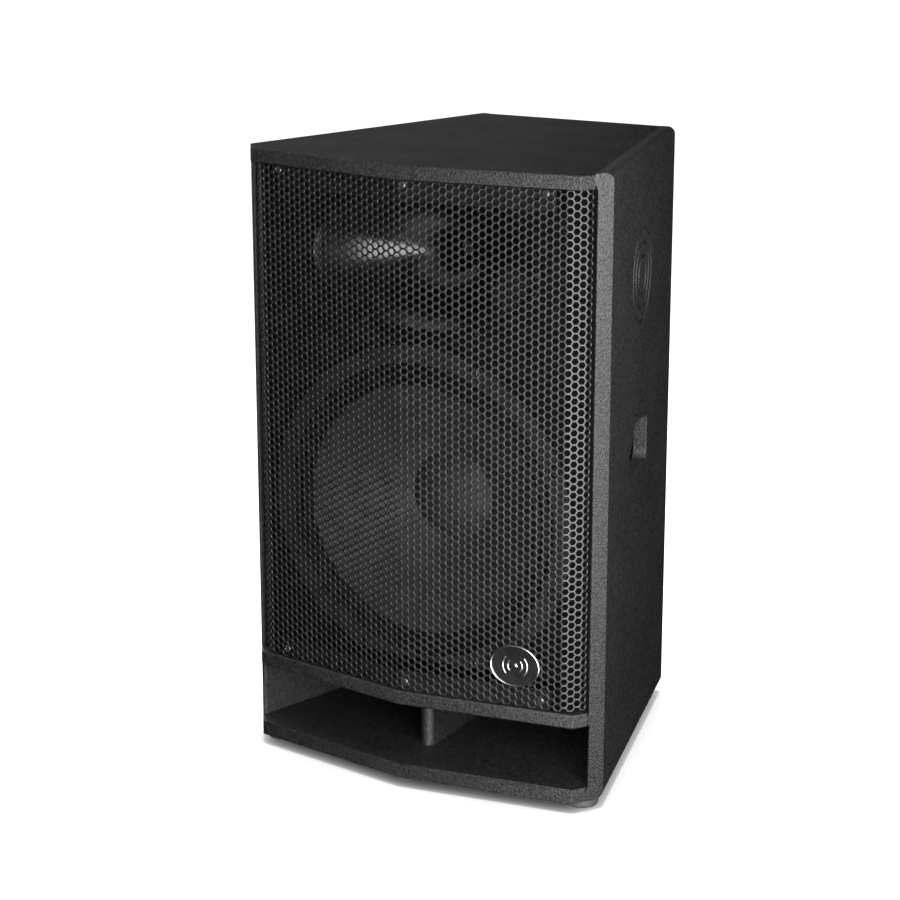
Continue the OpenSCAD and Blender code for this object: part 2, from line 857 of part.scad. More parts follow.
module connector_dish() {
  color(plastic) on_back(dish_z) difference() {
    union() {
      translate([0, 0, plate_back]) linear_extrude(plate_t) square(plate_size, center = true);
      translate([0, 0, dish_floor]) linear_extrude(dish_depth + plate_t)
        square(dish_size, center = true);
    }
    translate([0, 0, dish_floor + plate_t]) linear_extrude(dish_depth + plate_t)
      square([dish_size.x - 2 * plate_t, dish_size.y - 2 * plate_t], center = true);
    for (sx = [-1, 1]) translate([sx * socket_x, 10, dish_floor - eps])
      cylinder(r = socket_r, h = plate_t + 2 * eps);
    translate([-slider_size.x / 2 - switch_travel / 2 - 0.5, switch_z - slider_size.y / 2 - 0.5,
      dish_floor - eps]) cube([slider_size.x + switch_travel + 1, slider_size.y + 1, plate_t + 2 * eps]);
    connector_screw_spots() translate([0, 0, plate_back - eps])
      cylinder(r = 2, h = plate_t + 2 * eps, $fn = small_fn);
  }
}

module connector_gasket() {
  color("dimgray") on_back(dish_z) translate([0, 0, -rebate_depth]) linear_extrude(gasket_t)
    difference() {
      square(plate_size, center = true);
      square([dish_size.x + 1, dish_size.y + 1], center = true);
      connector_screw_spots() circle(r = 2, $fn = small_fn);
    }
}

module speaker_socket(sx) {
  flange_t = 2;
  body_len = 26;
  key_r = 5.2;
  bore_r = 11;
  color([0.1, 0.12, 0.3]) on_back(dish_z) translate([sx * socket_x, 10, dish_floor + plate_t])
    difference() {
      union() {
        linear_extrude(flange_t) square([28, 34], center = true);
        translate([0, 0, -body_len]) cylinder(r = socket_r, h = body_len);
        translate([0, 0, flange_t]) cylinder(r = 13, h = 3);
      }
      tube(bore_r, key_r, -body_len + 8, flange_t + 3 + eps);
      translate([0, 0, flange_t + 1.5]) cylinder(r = key_r + eps, h = 3);
    }
}

// The on_back frame mirrors x, so the socket on the left seen from the front has sx = 1
module left_speaker_socket() { speaker_socket(1); }
module right_speaker_socket() { speaker_socket(-1); }

module mode_switch_body() {
  body = [26, 14, 10];
  color("dimgray") on_back(dish_z) translate([0, switch_z, dish_floor - body.z])
    difference() {
      translate([-body.x / 2, -body.y / 2, 0]) cube(body);
      translate([-slider_size.x / 2 - switch_travel / 2 - 0.5, -slider_size.y / 2 - 0.5, 6])
        cube([slider_size.x + switch_travel + 1, slider_size.y + 1, 6]);
    }
}

module mode_switch_slider() {
  slider_h = 10;
  color("white") on_back(dish_z) translate([-slider_size.x / 2 + switch_travel / 2,
    switch_z - slider_size.y / 2, dish_floor - 3.6]) difference() {
      cube([slider_size.x, slider_size.y, slider_h]);
      for (i = [0 : 2]) translate([1.2 + 2 * i, -eps, slider_h - 0.8])
        cube([0.7, slider_size.y + 2 * eps, 2]);
    }
}

module connector_screws() {
  color(steel) on_back(dish_z) translate([0, 0, plate_back + plate_t]) connector_screw_spots()
    screw(2, plate_t + gasket_t + 8, 3.8, 2.2);
}

// ---------------------------------------------------------------- handles

module cup_screw_spots() {
  for (sy = [-1, 0, 1], sz = [-1, 1])
    translate([0, slot_mid + sy * (cup_in.x / 2 + cup_screw_out),
      slot_z + cup_lift / 2 + sz * (cup_in.y / 2 + cup_screw_out)]) children();
}

module handle_screw_holes() {
  cup_screw_spots() translate([-board_t - eps, 0, 0]) rotate([0, 90, 0])
    cylinder(r = 1.8, h = 12 + eps, $fn = small_fn);
}

module handle_cup(side) {
  flange_t = 3;
  flange = [cup_in.x + 2 * cup_flange, cup_in.y + 2 * cup_flange];
  shell = [cup_in.x + 2 * cup_wall, cup_in.y + 2 * cup_wall];
  corner_r = 16;
  on_side(side) on_right_side() difference() {
    union() {
      on_side_face(slot_mid, slot_z + cup_lift / 2, board_t + flange_t) linear_extrude(flange_t)
        rounded_rect(flange.x, flange.y, corner_r);
      on_side_face(slot_mid, slot_z + cup_lift / 2, board_t + cup_in.z + cup_wall)
        linear_extrude(cup_in.z + cup_wall) rounded_rect(shell.x, shell.y, corner_r);
    }
    on_side_face(slot_mid, slot_z + cup_lift / 2, board_t + cup_in.z)
      linear_extrude(cup_in.z + eps) rounded_rect(cup_in.x, cup_in.y, corner_r - cup_wall);
    cup_screw_spots() translate([-board_t - flange_t - eps, 0, 0]) rotate([0, 90, 0])
      cylinder(r = 1.8, h = flange_t + 2 * eps, $fn = small_fn);
  }
}

module left_handle_cup() { color(plastic) handle_cup(-1); }
module right_handle_cup() { color(plastic) handle_cup(1); }

module handle_screws() {
  color(steel) for (side = [-1, 1]) on_side(side) on_right_side() cup_screw_spots()
    translate([-board_t - 3, 0, 0]) rotate([0, -90, 0]) screw(1.8, 14, 4, 2.4);
}

// ---------------------------------------------------------------- pole socket and feet

module pole_socket() {
  color(dark_metal) translate([0, pole_y, box_z - pole_flange_t]) difference() {
    union() {
      cylinder(r = pole_flange_r, h = pole_flange_t);
      cylinder(r = pole_r + pole_wall, h = pole_depth + pole_flange_t);
    }
    translate([0, 0, -eps]) cylinder(r = pole_r, h = pole_depth + eps);
    around(4, pole_pcd_r, 45) translate([0, 0, -eps])
      cylinder(r = 2, h = pole_flange_t + 2 * eps, $fn = small_fn);
  }
}

module pole_socket_screws() {
  color(steel) translate([0, pole_y, box_z - pole_flange_t]) around(4, pole_pcd_r, 45)
    mirror([0, 0, 1]) screw(2, pole_flange_t + 14, 4.2, 2.5);
}

module foot() {
  recess_r = 6;
  recess_h = 6;
  rotate_extrude() polygon([
    [recess_r, 0], [foot_r - 2.5, 0], [foot_r - 1.2, 1.2], [foot_r, foot_h],
    [2.2, foot_h], [2.2, recess_h], [recess_r, recess_h]
  ]);
}

module feet() {
  color([0.46, 0.44, 0.41]) for (spot = foot_spots) translate([spot.x, spot.y, 0]) foot();
}

module foot_screws() {
  head_z = 6;
  color(steel) for (spot = foot_spots) translate([spot.x, spot.y, head_z])
    mirror([0, 0, 1]) screw(2.2, foot_h - head_z + 14, 4.6, 2.6);
}

// ---------------------------------------------------------------- what is drawn

left_side_panel();
right_side_panel();
top_panel();
bottom_panel();
back_panel();
front_baffle();
port_shelf();
port_divider();
window_brace();
top_grille_cleat();
bottom_grille_cleat();
grille();
grille_screws();
badge_plate();
badge_rim();
woofer_frame();
woofer_gasket();
woofer_surround();
woofer_cone();
woofer_dust_cap();
woofer_spider();
woofer_voice_coil();
woofer_top_plate();
woofer_magnet();
woofer_back_plate();
woofer_terminals();
woofer_screws();
horn();
horn_screws();
tweeter_front_plate();
tweeter_magnet();
tweeter_back_plate();
tweeter_phase_plug();
tweeter_diaphragm();
tweeter_suspension();
tweeter_rear_cover();
tweeter_bolts();
crossover_board();
crossover_standoffs();
crossover_inductors();
crossover_capacitors();
crossover_resistors();
wiring_loom();
side_damping_pads();
back_damping_pad();
connector_dish();
connector_gasket();
left_speaker_socket();
right_speaker_socket();
mode_switch_body();
mode_switch_slider();
connector_screws();
left_handle_cup();
right_handle_cup();
handle_screws();
pole_socket();
pole_socket_screws();
feet();
foot_screws();
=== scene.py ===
"""Looks for a two-way PA speaker cabinet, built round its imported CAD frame.

Lengths are metres in the CAD frame: X to the right seen from the front, Y to the back, Z up.
Measures written as `n * MM` are millimetres taken from the CAD source.
"""

import json
import math

import bmesh
import bpy
import numpy as np
from mathutils import Matrix, Vector
from mathutils.bvhtree import BVHTree


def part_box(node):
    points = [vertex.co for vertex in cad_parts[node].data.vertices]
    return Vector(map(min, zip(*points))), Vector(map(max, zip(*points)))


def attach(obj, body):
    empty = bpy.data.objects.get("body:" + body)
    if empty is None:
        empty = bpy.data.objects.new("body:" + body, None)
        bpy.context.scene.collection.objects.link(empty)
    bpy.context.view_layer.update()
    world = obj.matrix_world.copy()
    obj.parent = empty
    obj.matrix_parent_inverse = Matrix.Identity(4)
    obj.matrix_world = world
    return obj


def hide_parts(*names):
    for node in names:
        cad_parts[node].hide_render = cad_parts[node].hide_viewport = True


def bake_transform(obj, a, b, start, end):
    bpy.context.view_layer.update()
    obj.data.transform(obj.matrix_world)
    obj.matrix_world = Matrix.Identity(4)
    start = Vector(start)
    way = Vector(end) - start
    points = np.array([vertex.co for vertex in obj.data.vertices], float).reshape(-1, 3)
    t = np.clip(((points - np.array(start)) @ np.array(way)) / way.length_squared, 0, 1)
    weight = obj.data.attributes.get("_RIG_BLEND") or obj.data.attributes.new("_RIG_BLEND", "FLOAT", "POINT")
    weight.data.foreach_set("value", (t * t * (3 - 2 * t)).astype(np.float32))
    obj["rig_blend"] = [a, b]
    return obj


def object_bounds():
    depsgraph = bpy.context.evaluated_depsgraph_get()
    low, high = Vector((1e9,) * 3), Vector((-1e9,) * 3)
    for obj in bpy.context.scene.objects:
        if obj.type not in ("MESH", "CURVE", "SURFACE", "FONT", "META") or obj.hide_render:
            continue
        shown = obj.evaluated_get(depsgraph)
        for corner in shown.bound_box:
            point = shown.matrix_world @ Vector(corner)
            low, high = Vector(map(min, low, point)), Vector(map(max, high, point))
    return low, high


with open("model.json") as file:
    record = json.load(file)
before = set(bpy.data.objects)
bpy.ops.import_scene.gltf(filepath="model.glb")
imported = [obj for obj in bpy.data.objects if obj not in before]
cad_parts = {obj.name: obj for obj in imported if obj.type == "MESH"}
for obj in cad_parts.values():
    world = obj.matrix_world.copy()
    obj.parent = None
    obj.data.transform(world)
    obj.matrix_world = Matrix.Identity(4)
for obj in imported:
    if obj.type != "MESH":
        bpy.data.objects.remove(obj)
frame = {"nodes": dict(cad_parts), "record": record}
CAD_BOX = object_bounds()
NODES = frame["nodes"]
MM = 0.001

CABINET = "cabinet"
CONE_BODY = "woofer_moving_parts"

# The finishes below take the place of the frame's own materials.
for imported in list(bpy.data.materials):
    bpy.data.materials.remove(imported)


# ---------------------------------------------------------------- node materials


class Finish:
    """One procedural material: a Principled shader whose colour, roughness and bump come from noise."""

    def __init__(self, name, metallic=0.0, specular=0.5, coat=0.0, sheen=0.0):
        self.material = bpy.data.materials.new(name)
        self.material.use_nodes = True
        self.tree = self.material.node_tree
        self.shader = self.tree.nodes["Principled BSDF"]
        for socket, value in (
            ("Metallic", metallic),
            ("Specular IOR Level", specular),
            ("Coat Weight", coat),
            ("Sheen Weight", sheen),
        ):
            self.shader.inputs[socket].default_value = value
        self.place = self.node("ShaderNodeTexCoord").outputs["Object"]

    def node(self, kind, **values):
        """Adds a node and sets or links its named inputs."""
        made = self.tree.nodes.new(kind)
        for name, value in values.items():
            self.feed(made.inputs[name.replace("_", " ")], value)
        return made

    def feed(self, socket, value):
        if isinstance(value, bpy.types.NodeSocket):
            self.tree.links.new(value, socket)
        else:
            socket.default_value = value

    def noise(self, scale, detail=2.0, roughness=0.5, stretch=(1, 1, 1)):
        """Cloudy noise in object space, stretched where an axis has a factor below 1."""
        place = self.node("ShaderNodeMapping", Vector=self.place, Scale=stretch).outputs["Vector"]
        made = self.node(
            "ShaderNodeTexNoise", Vector=place, Scale=scale, Detail=detail, Roughness=roughness
        )
        return made.outputs["Fac"]

    def cells(self, scale):
        """Distance to the nearest of many scattered points, 0 at each point."""
        return self.node("ShaderNodeTexVoronoi", Vector=self.place, Scale=scale).outputs["Distance"]

    def bands(self, scale, axis):
        """Parallel ridges across one axis."""
        made = self.node("ShaderNodeTexWave", Vector=self.place, Scale=scale)
        made.bands_direction = axis
        return made.outputs["Fac"]

    def mixed(self, first, second, share):
        """first plus share times second."""
        made = self.tree.nodes.new("ShaderNodeMath")
        made.operation = "MULTIPLY_ADD"
        for socket, value in zip(made.inputs, (second, share, first)):
            self.feed(socket, value)
        return made.outputs["Value"]

    def colours(self, value, dark, light, low=0.35, high=0.65):
        """Colours the surface from dark to light as value goes from low to high."""
        ramp = self.tree.nodes.new("ShaderNodeValToRGB")
        for element, at, colour in zip(ramp.color_ramp.elements, (low, high), (dark, light)):
            element.position = at
            element.color = (*colour, 1.0)
        self.feed(ramp.inputs["Fac"], value)
        self.feed(self.shader.inputs["Base Color"], ramp.outputs["Color"])

    def vary(self, socket, value, low, high):
        """Takes a socket of the shader from low to high over the noise value's usual range."""
        made = self.tree.nodes.new("ShaderNodeMapRange")
        for name, number in (("From Min", 0.3), ("From Max", 0.7), ("To Min", low), ("To Max", high)):
            made.inputs[name].default_value = number
        self.feed(made.inputs["Value"], value)
        self.feed(self.shader.inputs[socket], made.outputs["Result"])

    def rough(self, value, low, high):
        self.vary("Roughness", value, low, high)

    def bump(self, height, distance):
        made = self.node("ShaderNodeBump", Height=height, Distance=distance)
        self.feed(self.shader.inputs["Normal"], made.outputs["Normal"])


def grey(value, warmth=0.0):
    """A grey of that linear brightness, warmer above 0 and cooler below."""
    return (value * (1 + warmth), value, value * (1 - warmth))


def textured_paint(name):
    """Water-based cabinet paint: nearly black, with a fine pebbled skin."""
    finish = Finish(name)
    pebble = finish.noise(430, detail=3, roughness=0.65)
    fine = finish.noise(1300, detail=2)
    finish.colours(finish.noise(260, detail=3), grey(0.0005), grey(0.009, 0.01))
    finish.rough(finish.noise(14, detail=4), 0.47, 0.53)
    finish.vary("Specular IOR Level", pebble, 0.3, 0.7)
    finish.bump(finish.mixed(pebble, fine, 0.4), 1.0 * MM)
    return finish


def baffle_paint(name):
    """Matt black paint that lets a little wood grain through."""
    finish = Finish(name, specular=0.08)
    grain = finish.noise(160, detail=4, stretch=(0.12, 1, 1))
    finish.colours(grain, grey(0.0012), grey(0.0035))
    finish.rough(grain, 0.55, 0.7)
    finish.bump(finish.mixed(grain, finish.noise(900), 0.4), 0.2 * MM)
    return finish


def plywood(name):
    finish = Finish(name, specular=0.3)
    grain = finish.noise(60, detail=6, roughness=0.6, stretch=(0.08, 1, 1))
    plies = finish.bands(52, "Z")
    finish.colours(finish.mixed(grain, plies, 0.15), (0.34, 0.2, 0.1), (0.62, 0.43, 0.24), 0.35, 0.75)
    finish.rough(grain, 0.6, 0.8)
    finish.bump(grain, 0.3 * MM)
    return finish


def paper_cone(name):
    """Pressed paper pulp: short pale fibres in a dark grey felt."""
    finish = Finish(name, specular=0.3)
    fibre = finish.mixed(
        finish.noise(380, detail=5, roughness=0.7, stretch=(1, 1, 0.25)),
        finish.noise(380, detail=5, roughness=0.7, stretch=(0.25, 1, 1)),
        0.9,
    )
    finish.colours(fibre, grey(0.004), grey(0.016, 0.03), 0.75, 1.0)
    finish.rough(finish.noise(60, detail=3), 0.55, 0.7)
    finish.bump(fibre, 0.35 * MM)
    return finish


def treated_cloth(name, dark=grey(0.001), light=grey(0.003)):
    """Woven cloth stiffened with resin: threads crossing in two directions."""
    finish = Finish(name, specular=0.12)
    threads = finish.mixed(finish.bands(260, "X"), finish.bands(260, "Z"), 1.0)
    finish.colours(finish.mixed(threads, finish.noise(90, detail=4), 0.6), dark, light, 0.5, 1.0)
    finish.rough(finish.noise(40, detail=3), 0.5, 0.68)
    finish.bump(threads, 0.15 * MM)
    return finish


def winding(name, dark, light, scale, axis):
    """Enamelled wire wound side by side."""
    finish = Finish(name, metallic=0.9)
    turns = finish.bands(scale, axis)
    finish.colours(finish.mixed(turns, finish.noise(70, detail=3), 0.5), dark, light, 0.2, 1.0)
    finish.rough(finish.noise(50), 0.25, 0.4)
    finish.bump(turns, 0.3 * MM)
    return finish


def foam(name, dark, light, scale, sheen):
    """Open-cell foam or felt with small pits."""
    finish = Finish(name, specular=0.2, sheen=sheen)
    pits = finish.mixed(finish.cells(scale), finish.noise(scale / 3, detail=4), 0.8)
    finish.colours(pits, dark, light, 0.4, 1.0)
    finish.rough(finish.noise(30), 0.8, 0.95)
    finish.bump(pits, 0.6 * MM)
    return finish


def grained(name, dark, light, scale, rough, skin, height, **shader):
    """Plain material with uneven colour and polish, and a fine skin of that height in millimetres."""
    finish = Finish(name, **shader)
    cloud = finish.noise(scale, detail=4, roughness=0.6)
    finish.colours(cloud, dark, light)
    finish.rough(cloud, *rough)
    finish.bump(finish.mixed(finish.noise(skin, detail=3), cloud, 0.3), height * MM)
    return finish


def metal(name, dark, light, rough, height=0.02):
    return grained(name, dark, light, 120, rough, 900, height, metallic=1.0)


FINISHES = {
    finish.material.name: finish.material
    for finish in (
        textured_paint("textured_paint"),
        baffle_paint("baffle_paint"),
        plywood("bare_plywood"),
        paper_cone("paper_cone"),
        treated_cloth("treated_cloth"),
        treated_cloth("spider_cloth", (0.28, 0.15, 0.04), (0.5, 0.3, 0.1)),
        winding("copper_wire", (0.45, 0.16, 0.06), (0.85, 0.4, 0.18), 180, "Y"),
        foam("foam_gasket", grey(0.002), grey(0.006), 1400, sheen=0.05),
        foam("damping_felt", grey(0.16), grey(0.34), 500, sheen=0.3),
        grained("grille_steel", grey(0.003), grey(0.007), 60, (0.42, 0.5), 1500, 0.05, specular=0.4),
        grained("horn_plastic", grey(0.001), grey(0.0025), 30, (0.2, 0.27), 700, 0.03, specular=0.6),
        grained("black_plastic", grey(0.012), grey(0.022), 60, (0.4, 0.5), 2200, 0.06),
        grained("light_plastic", grey(0.55), grey(0.68, 0.02), 90, (0.35, 0.5), 1800, 0.03),
        grained("socket_blue", (0.008, 0.012, 0.05), (0.014, 0.022, 0.085), 80, (0.3, 0.42), 1800, 0.04),
        grained("badge_gloss", grey(0.005), grey(0.009), 40, (0.07, 0.12), 500, 0.01, coat=0.6),
        grained("cast_frame", grey(0.002), grey(0.005), 90, (0.42, 0.55), 1100, 0.12, specular=0.2),
        grained("ferrite", grey(0.03, 0.05), grey(0.06, 0.05), 300, (0.5, 0.7), 1600, 0.15),
        grained("foot_rubber", grey(0.018, 0.06), grey(0.03, 0.06), 110, (0.6, 0.75), 1500, 0.12),
        grained("coil_former", (0.3, 0.12, 0.03), (0.42, 0.2, 0.06), 70, (0.3, 0.45), 900, 0.03),
        grained("circuit_board", (0.008, 0.07, 0.025), (0.02, 0.14, 0.05), 140, (0.25, 0.4), 700, 0.08),
        grained("film_yellow", (0.55, 0.34, 0.02), (0.7, 0.47, 0.04), 50, (0.25, 0.4), 600, 0.04),
        grained("white_ceramic", grey(0.6), grey(0.72, 0.02), 160, (0.6, 0.75), 1200, 0.12),
        grained("red_cable", (0.26, 0.01, 0.008), (0.4, 0.02, 0.015), 80, (0.4, 0.55), 900, 0.05),
        metal("zinc_screw", grey(0.45, -0.02), grey(0.68, -0.02), (0.22, 0.38)),
        grained("black_screw", grey(0.02), grey(0.04), 120, (0.16, 0.24), 900, 0.02, metallic=0.5),
        metal("bright_rim", grey(0.28), grey(0.36), (0.26, 0.34), height=0.006),
        metal("plated_steel", grey(0.42, 0.03), grey(0.6, 0.03), (0.28, 0.45)),
        metal("titanium", grey(0.4, 0.02), grey(0.52, 0.02), (0.25, 0.4)),
    )
}

NODE_SLOTS = {row["node"]: row["material_slot"] for row in frame["record"]["subparts"]}


# ---------------------------------------------------------------- mesh helpers


def tidy(bm, name, sharp=35):
    """Turns a bmesh into a mesh with outward faces, smooth but for its sharp edges."""
    bmesh.ops.remove_doubles(bm, verts=bm.verts, dist=0.001 * MM)
    bmesh.ops.recalc_face_normals(bm, faces=bm.faces)
    for face in bm.faces:
        face.smooth = True
    mesh = bpy.data.meshes.new(name)
    bm.to_mesh(mesh)
    bm.free()
    mesh.set_sharp_from_angle(angle=math.radians(sharp))
    return mesh


def bmesh_of(points, faces):
    mesh = bpy.data.meshes.new("scratch")
    mesh.from_pydata(points, [], faces)
    bm = bmesh.new()
    bm.from_mesh(mesh)
    bpy.data.meshes.remove(mesh)
    return bm


def add_piece(name, mesh, slot, nodes=(), body=CABINET):
    """Links a mesh as a visible piece of that material slot, riding on a body."""
    piece = bpy.data.objects.new(name, mesh)
    bpy.context.scene.collection.objects.link(piece)
    mesh.materials.clear()
    mesh.materials.append(FINISHES[slot])
    if nodes:
        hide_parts(*nodes)
    if body:
        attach(piece, body)
    return piece


def even_shading(piece):
    """Keeps flat faces flat next to rounded edges."""
    modifier = piece.modifiers.new("even_shading", "WEIGHTED_NORMAL")
    modifier.keep_sharp = True
    modifier.weight = 100


def grid_faces(rows, columns, first=0):
    """Quads between successive closed rows of points."""
    faces = []
    for row in range(rows - 1):
        for column in range(columns):
            after = (column + 1) % columns
            low, high = first + row * columns, first + (row + 1) * columns
            faces.append((low + column, low + after, high + after, high + column))
    return faces


def lathe(profile, place, segments=128, closed=True):
    """bmesh of (radius, height) pairs turned round the local z axis. A closed profile joins its ends."""
    pairs = list(profile) + ([profile[0]] if closed else [])
    points = []
    for radius, height in pairs:
        for i in range(segments):
            turn = 2 * math.pi * i / segments
            points.append(place @ Vector((radius * math.cos(turn), radius * math.sin(turn), height)))
    return bmesh_of(points, grid_faces(len(pairs), segments))


def merge(meshes, name):
    """Joins several bmeshes into one mesh."""
    whole = bmesh.new()
    for bm in meshes:
        part = bpy.data.meshes.new("scratch")
        bm.to_mesh(part)
        bm.free()
        whole.from_mesh(part)
        bpy.data.meshes.remove(part)
    return tidy(whole, name)


# ---------------------------------------------------------------- eased copies of CAD nodes


def whole_faces(node):
    """bmesh of a CAD node with its flat faces joined up again."""
    bm = bmesh.new()
    bm.from_mesh(NODES[node].data)
    bmesh.ops.remove_doubles(bm, verts=bm.verts, dist=0.001 * MM)
    bmesh.ops.dissolve_limit(bm, angle_limit=math.radians(0.4), verts=bm.verts, edges=bm.edges)
    return bm


def sharp_edges(bm, chosen=lambda edge: True):
    """Outward edges where the surface turns by more than 40 degrees."""
    limit = math.radians(40)
    return [
        edge for edge in bm.edges
        if edge.is_manifold and edge.is_convex and edge.calc_face_angle() > limit and chosen(edge)
    ]


def round_edges(bm, edges, width, segments=3):
    bmesh.ops.bevel(
        bm, geom=edges, offset=width, offset_type="OFFSET", segments=segments,
        profile=0.5, affect="EDGES", clamp_overlap=True,
    )


def eased(node, width, body=CABINET):
    """A copy of a CAD node with moulded or deburred edges stands for it."""
    bm = whole_faces(node)
    round_edges(bm, sharp_edges(bm), width, segments=2)
    piece = add_piece(f"{node}_eased", tidy(bm, f"{node}_eased"), NODE_SLOTS[node], [node], body)
    even_shading(piece)


# ---------------------------------------------------------------- painted boards

BOARDS = [
    "left_side_panel", "right_side_panel", "top_panel", "bottom_panel",
    "back_panel", "port_shelf", "port_divider",
]
OPENING_EDGE = 9 * MM        # on the side boards' thin inner front edges
FRONT_EDGE = 4 * MM          # along the front of the flat boards
PLAIN_EDGE = 2 * MM
SLOT_EDGE = 7 * MM           # round the finger slots
BEND_EDGE = 0.8 * MM         # where two front facets meet
GROOVE_EDGE = 0.7 * MM       # along the routed rings
SLOT_HEIGHT = 379 * MM
SLOT_REACH = 35 * MM         # above and below the slot's middle
GROOVE_HEIGHT = 579 * MM
GROOVE_REACH = 70 * MM       # above and below the rings' middle
SIDE_FROM = 140 * MM         # only the side boards lie further out than this
SIDE_FRONT = -120 * MM       # the slots and rings lie between these two depths
SIDE_BACK = 140 * MM
FRONT_FROM = -130 * MM       # the boards' front edges lie ahead of this
BEND_FROM = -175 * MM        # of the upright front edges, the bends lie ahead of this
CORNER_FROM = 225 * MM       # and the outer corners lie further out than this


def surface_of(nodes):
    """Search tree over the faces of several CAD nodes."""
    points, faces = [], []
    for node in nodes:
        mesh = NODES[node].data
        first = len(points)
        points += [vertex.co.copy() for vertex in mesh.vertices]
        faces += [[first + i for i in polygon.vertices] for polygon in mesh.polygons]
    return BVHTree.FromPolygons(points, faces)


def touches(edge, tree):
    """Whether an edge lies against the surface in the tree."""
    start, end = (vertex.co for vertex in edge.verts)
    return any(
        tree.find_nearest(start.lerp(end, share), 0.1 * MM)[0] is not None
        for share in (0.2, 0.5, 0.8)
    )


def edge_width(edge):
    """Rounding of a board's free edge, by where it lies."""
    start, end = (vertex.co for vertex in edge.verts)
    middle = (start + end) / 2
    upright = abs(end.z - start.z) > 0.9 * edge.calc_length()
    on_side = abs(middle.x) > SIDE_FROM and SIDE_FRONT < middle.y < SIDE_BACK
    if on_side and abs(middle.z - GROOVE_HEIGHT) < GROOVE_REACH:
        return GROOVE_EDGE
    if on_side and abs(middle.z - SLOT_HEIGHT) < SLOT_REACH:
        return SLOT_EDGE
    if middle.y > FRONT_FROM:
        return PLAIN_EDGE
    if not upright:
        return FRONT_EDGE
    if abs(middle.x) > CORNER_FROM:
        return PLAIN_EDGE
    return BEND_EDGE if middle.y < BEND_FROM else OPENING_EDGE


def split_at_boards(bm):
    """Cuts the long front edges of a side board where the other boards meet them."""
    for node in ("bottom_panel", "port_shelf", "top_panel"):
        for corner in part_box(node):
            geometry = bm.verts[:] + bm.edges[:] + bm.faces[:]
            bmesh.ops.bisect_plane(
                bm, geom=geometry, plane_co=(0, 0, corner.z), plane_no=(0, 0, 1), dist=0.01 * MM
            )


def painted_board(node):
    """A copy of a board whose free edges are rounded, with the painted skin."""
    bm = whole_faces(node)
    if node.endswith("side_panel"):
        split_at_boards(bm)
    others = surface_of([other for other in BOARDS if other != node])
    for width in (GROOVE_EDGE, SLOT_EDGE, PLAIN_EDGE, BEND_EDGE, OPENING_EDGE, FRONT_EDGE):
        free = sharp_edges(bm, lambda edge: edge_width(edge) == width and not touches(edge, others))
        round_edges(bm, free, width)
    piece = add_piece(f"{node}_painted", tidy(bm, f"{node}_painted"), "textured_paint", [node])
    even_shading(piece)


# ---------------------------------------------------------------- grille

PITCH = 8.8 * MM             # between rows of holes
HOLE = 6.4 * MM              # across the flats of a hole
SHEET = 1.5 * MM
LIP = 0.5 * MM               # rolled edge of each hole
VEE = math.radians(8.59)     # how far each half of the sheet leans back
RETURN_TURN = math.atan2(16.5, 18)
RETURN_AT = 197.2 * MM       # along the sheet from the crease to the edge bend
LIP_AT = 221.6 * MM          # along the sheet to the bend that starts the straight lip
HALF_SHEET = 226.4 * MM
BEND = 2.5 * MM              # half length of a bend along the sheet
CORNERS = 6                  # of a hole


def hexagon(radius):
    """Corners of a hexagon with its flats at the top and bottom."""
    turns = np.radians(np.arange(0, 360, 360 / CORNERS))
    return np.stack([np.cos(turns), np.sin(turns)], axis=1) * radius


def cell_points():
    """One cell of the sheet as rings of (across, up, depth) points from its front to its back."""
    outer, hole = PITCH / math.sqrt(3), HOLE / math.sqrt(3)
    rings = [(outer, 0), (hole + LIP, 0), (hole, LIP), (hole, SHEET), (outer, SHEET)]
    return np.concatenate(
        [np.hstack([hexagon(radius), np.full((CORNERS, 1), depth)]) for radius, depth in rings]
    )


def perforated_sheet(height):
    """Flat sheet as (across, up, depth) points and quads, larger than the grille on every side."""
    column = PITCH * math.sqrt(3) / 2
    last = math.ceil(HALF_SHEET / column) + 1
    centres = np.array([
        (i * column, (j + 0.5 * (i % 2)) * PITCH, 0)
        for i in range(-last, last + 1)
        for j in range(-1, math.ceil(height / PITCH) + 2)
    ])
    cell = cell_points()
    points = (centres[:, None, :] + cell[None, :, :]).reshape(-1, 3)
    quads = np.array(grid_faces(len(cell) // CORNERS, CORNERS))
    faces = (np.arange(len(centres))[:, None, None] * len(cell) + quads[None]).reshape(-1, 4)
    _, first, place = np.unique(
        np.round(points / (0.001 * MM)).astype(np.int64), axis=0, return_index=True, return_inverse=True
    )
    return points[first], place.ravel()[faces]


def trim(bm, point, outward):
    """Cuts the sheet off at a plane and closes the cut."""
    geometry = bm.verts[:] + bm.edges[:] + bm.faces[:]
    bmesh.ops.bisect_plane(
        bm, geom=geometry, plane_co=point, plane_no=outward, dist=0.0001 * MM, clear_outer=True
    )
    bmesh.ops.holes_fill(bm, edges=[edge for edge in bm.edges if edge.is_boundary], sides=0)


def bend_sheet(bm, front_y, floor_z):
    """Folds the flat sheet at its crease and at the bends along its edges."""
    samples = 4000
    steps = np.linspace(0, HALF_SHEET + PITCH, samples)
    lean = np.interp(
        steps,
        [0, BEND, RETURN_AT - BEND, RETURN_AT + BEND, LIP_AT - BEND, LIP_AT + BEND],
        [0, VEE, VEE, RETURN_TURN, RETURN_TURN, math.radians(88)],
    )
    stride = steps[1] - steps[0]
    x_along = np.concatenate([[0], np.cumsum(np.cos(lean[1:]) * stride)])
    y_along = np.concatenate([[0], np.cumsum(np.sin(lean[1:]) * stride)])
    for vertex in bm.verts:
        across, up, depth = vertex.co
        side = 1 if across >= 0 else -1
        away = abs(across)
        turn = np.interp(away, steps, lean)
        x = np.interp(away, steps, x_along) - depth * math.sin(turn)
        y = front_y + np.interp(away, steps, y_along) + depth * math.cos(turn)
        vertex.co = (side * x, y, floor_z + up)


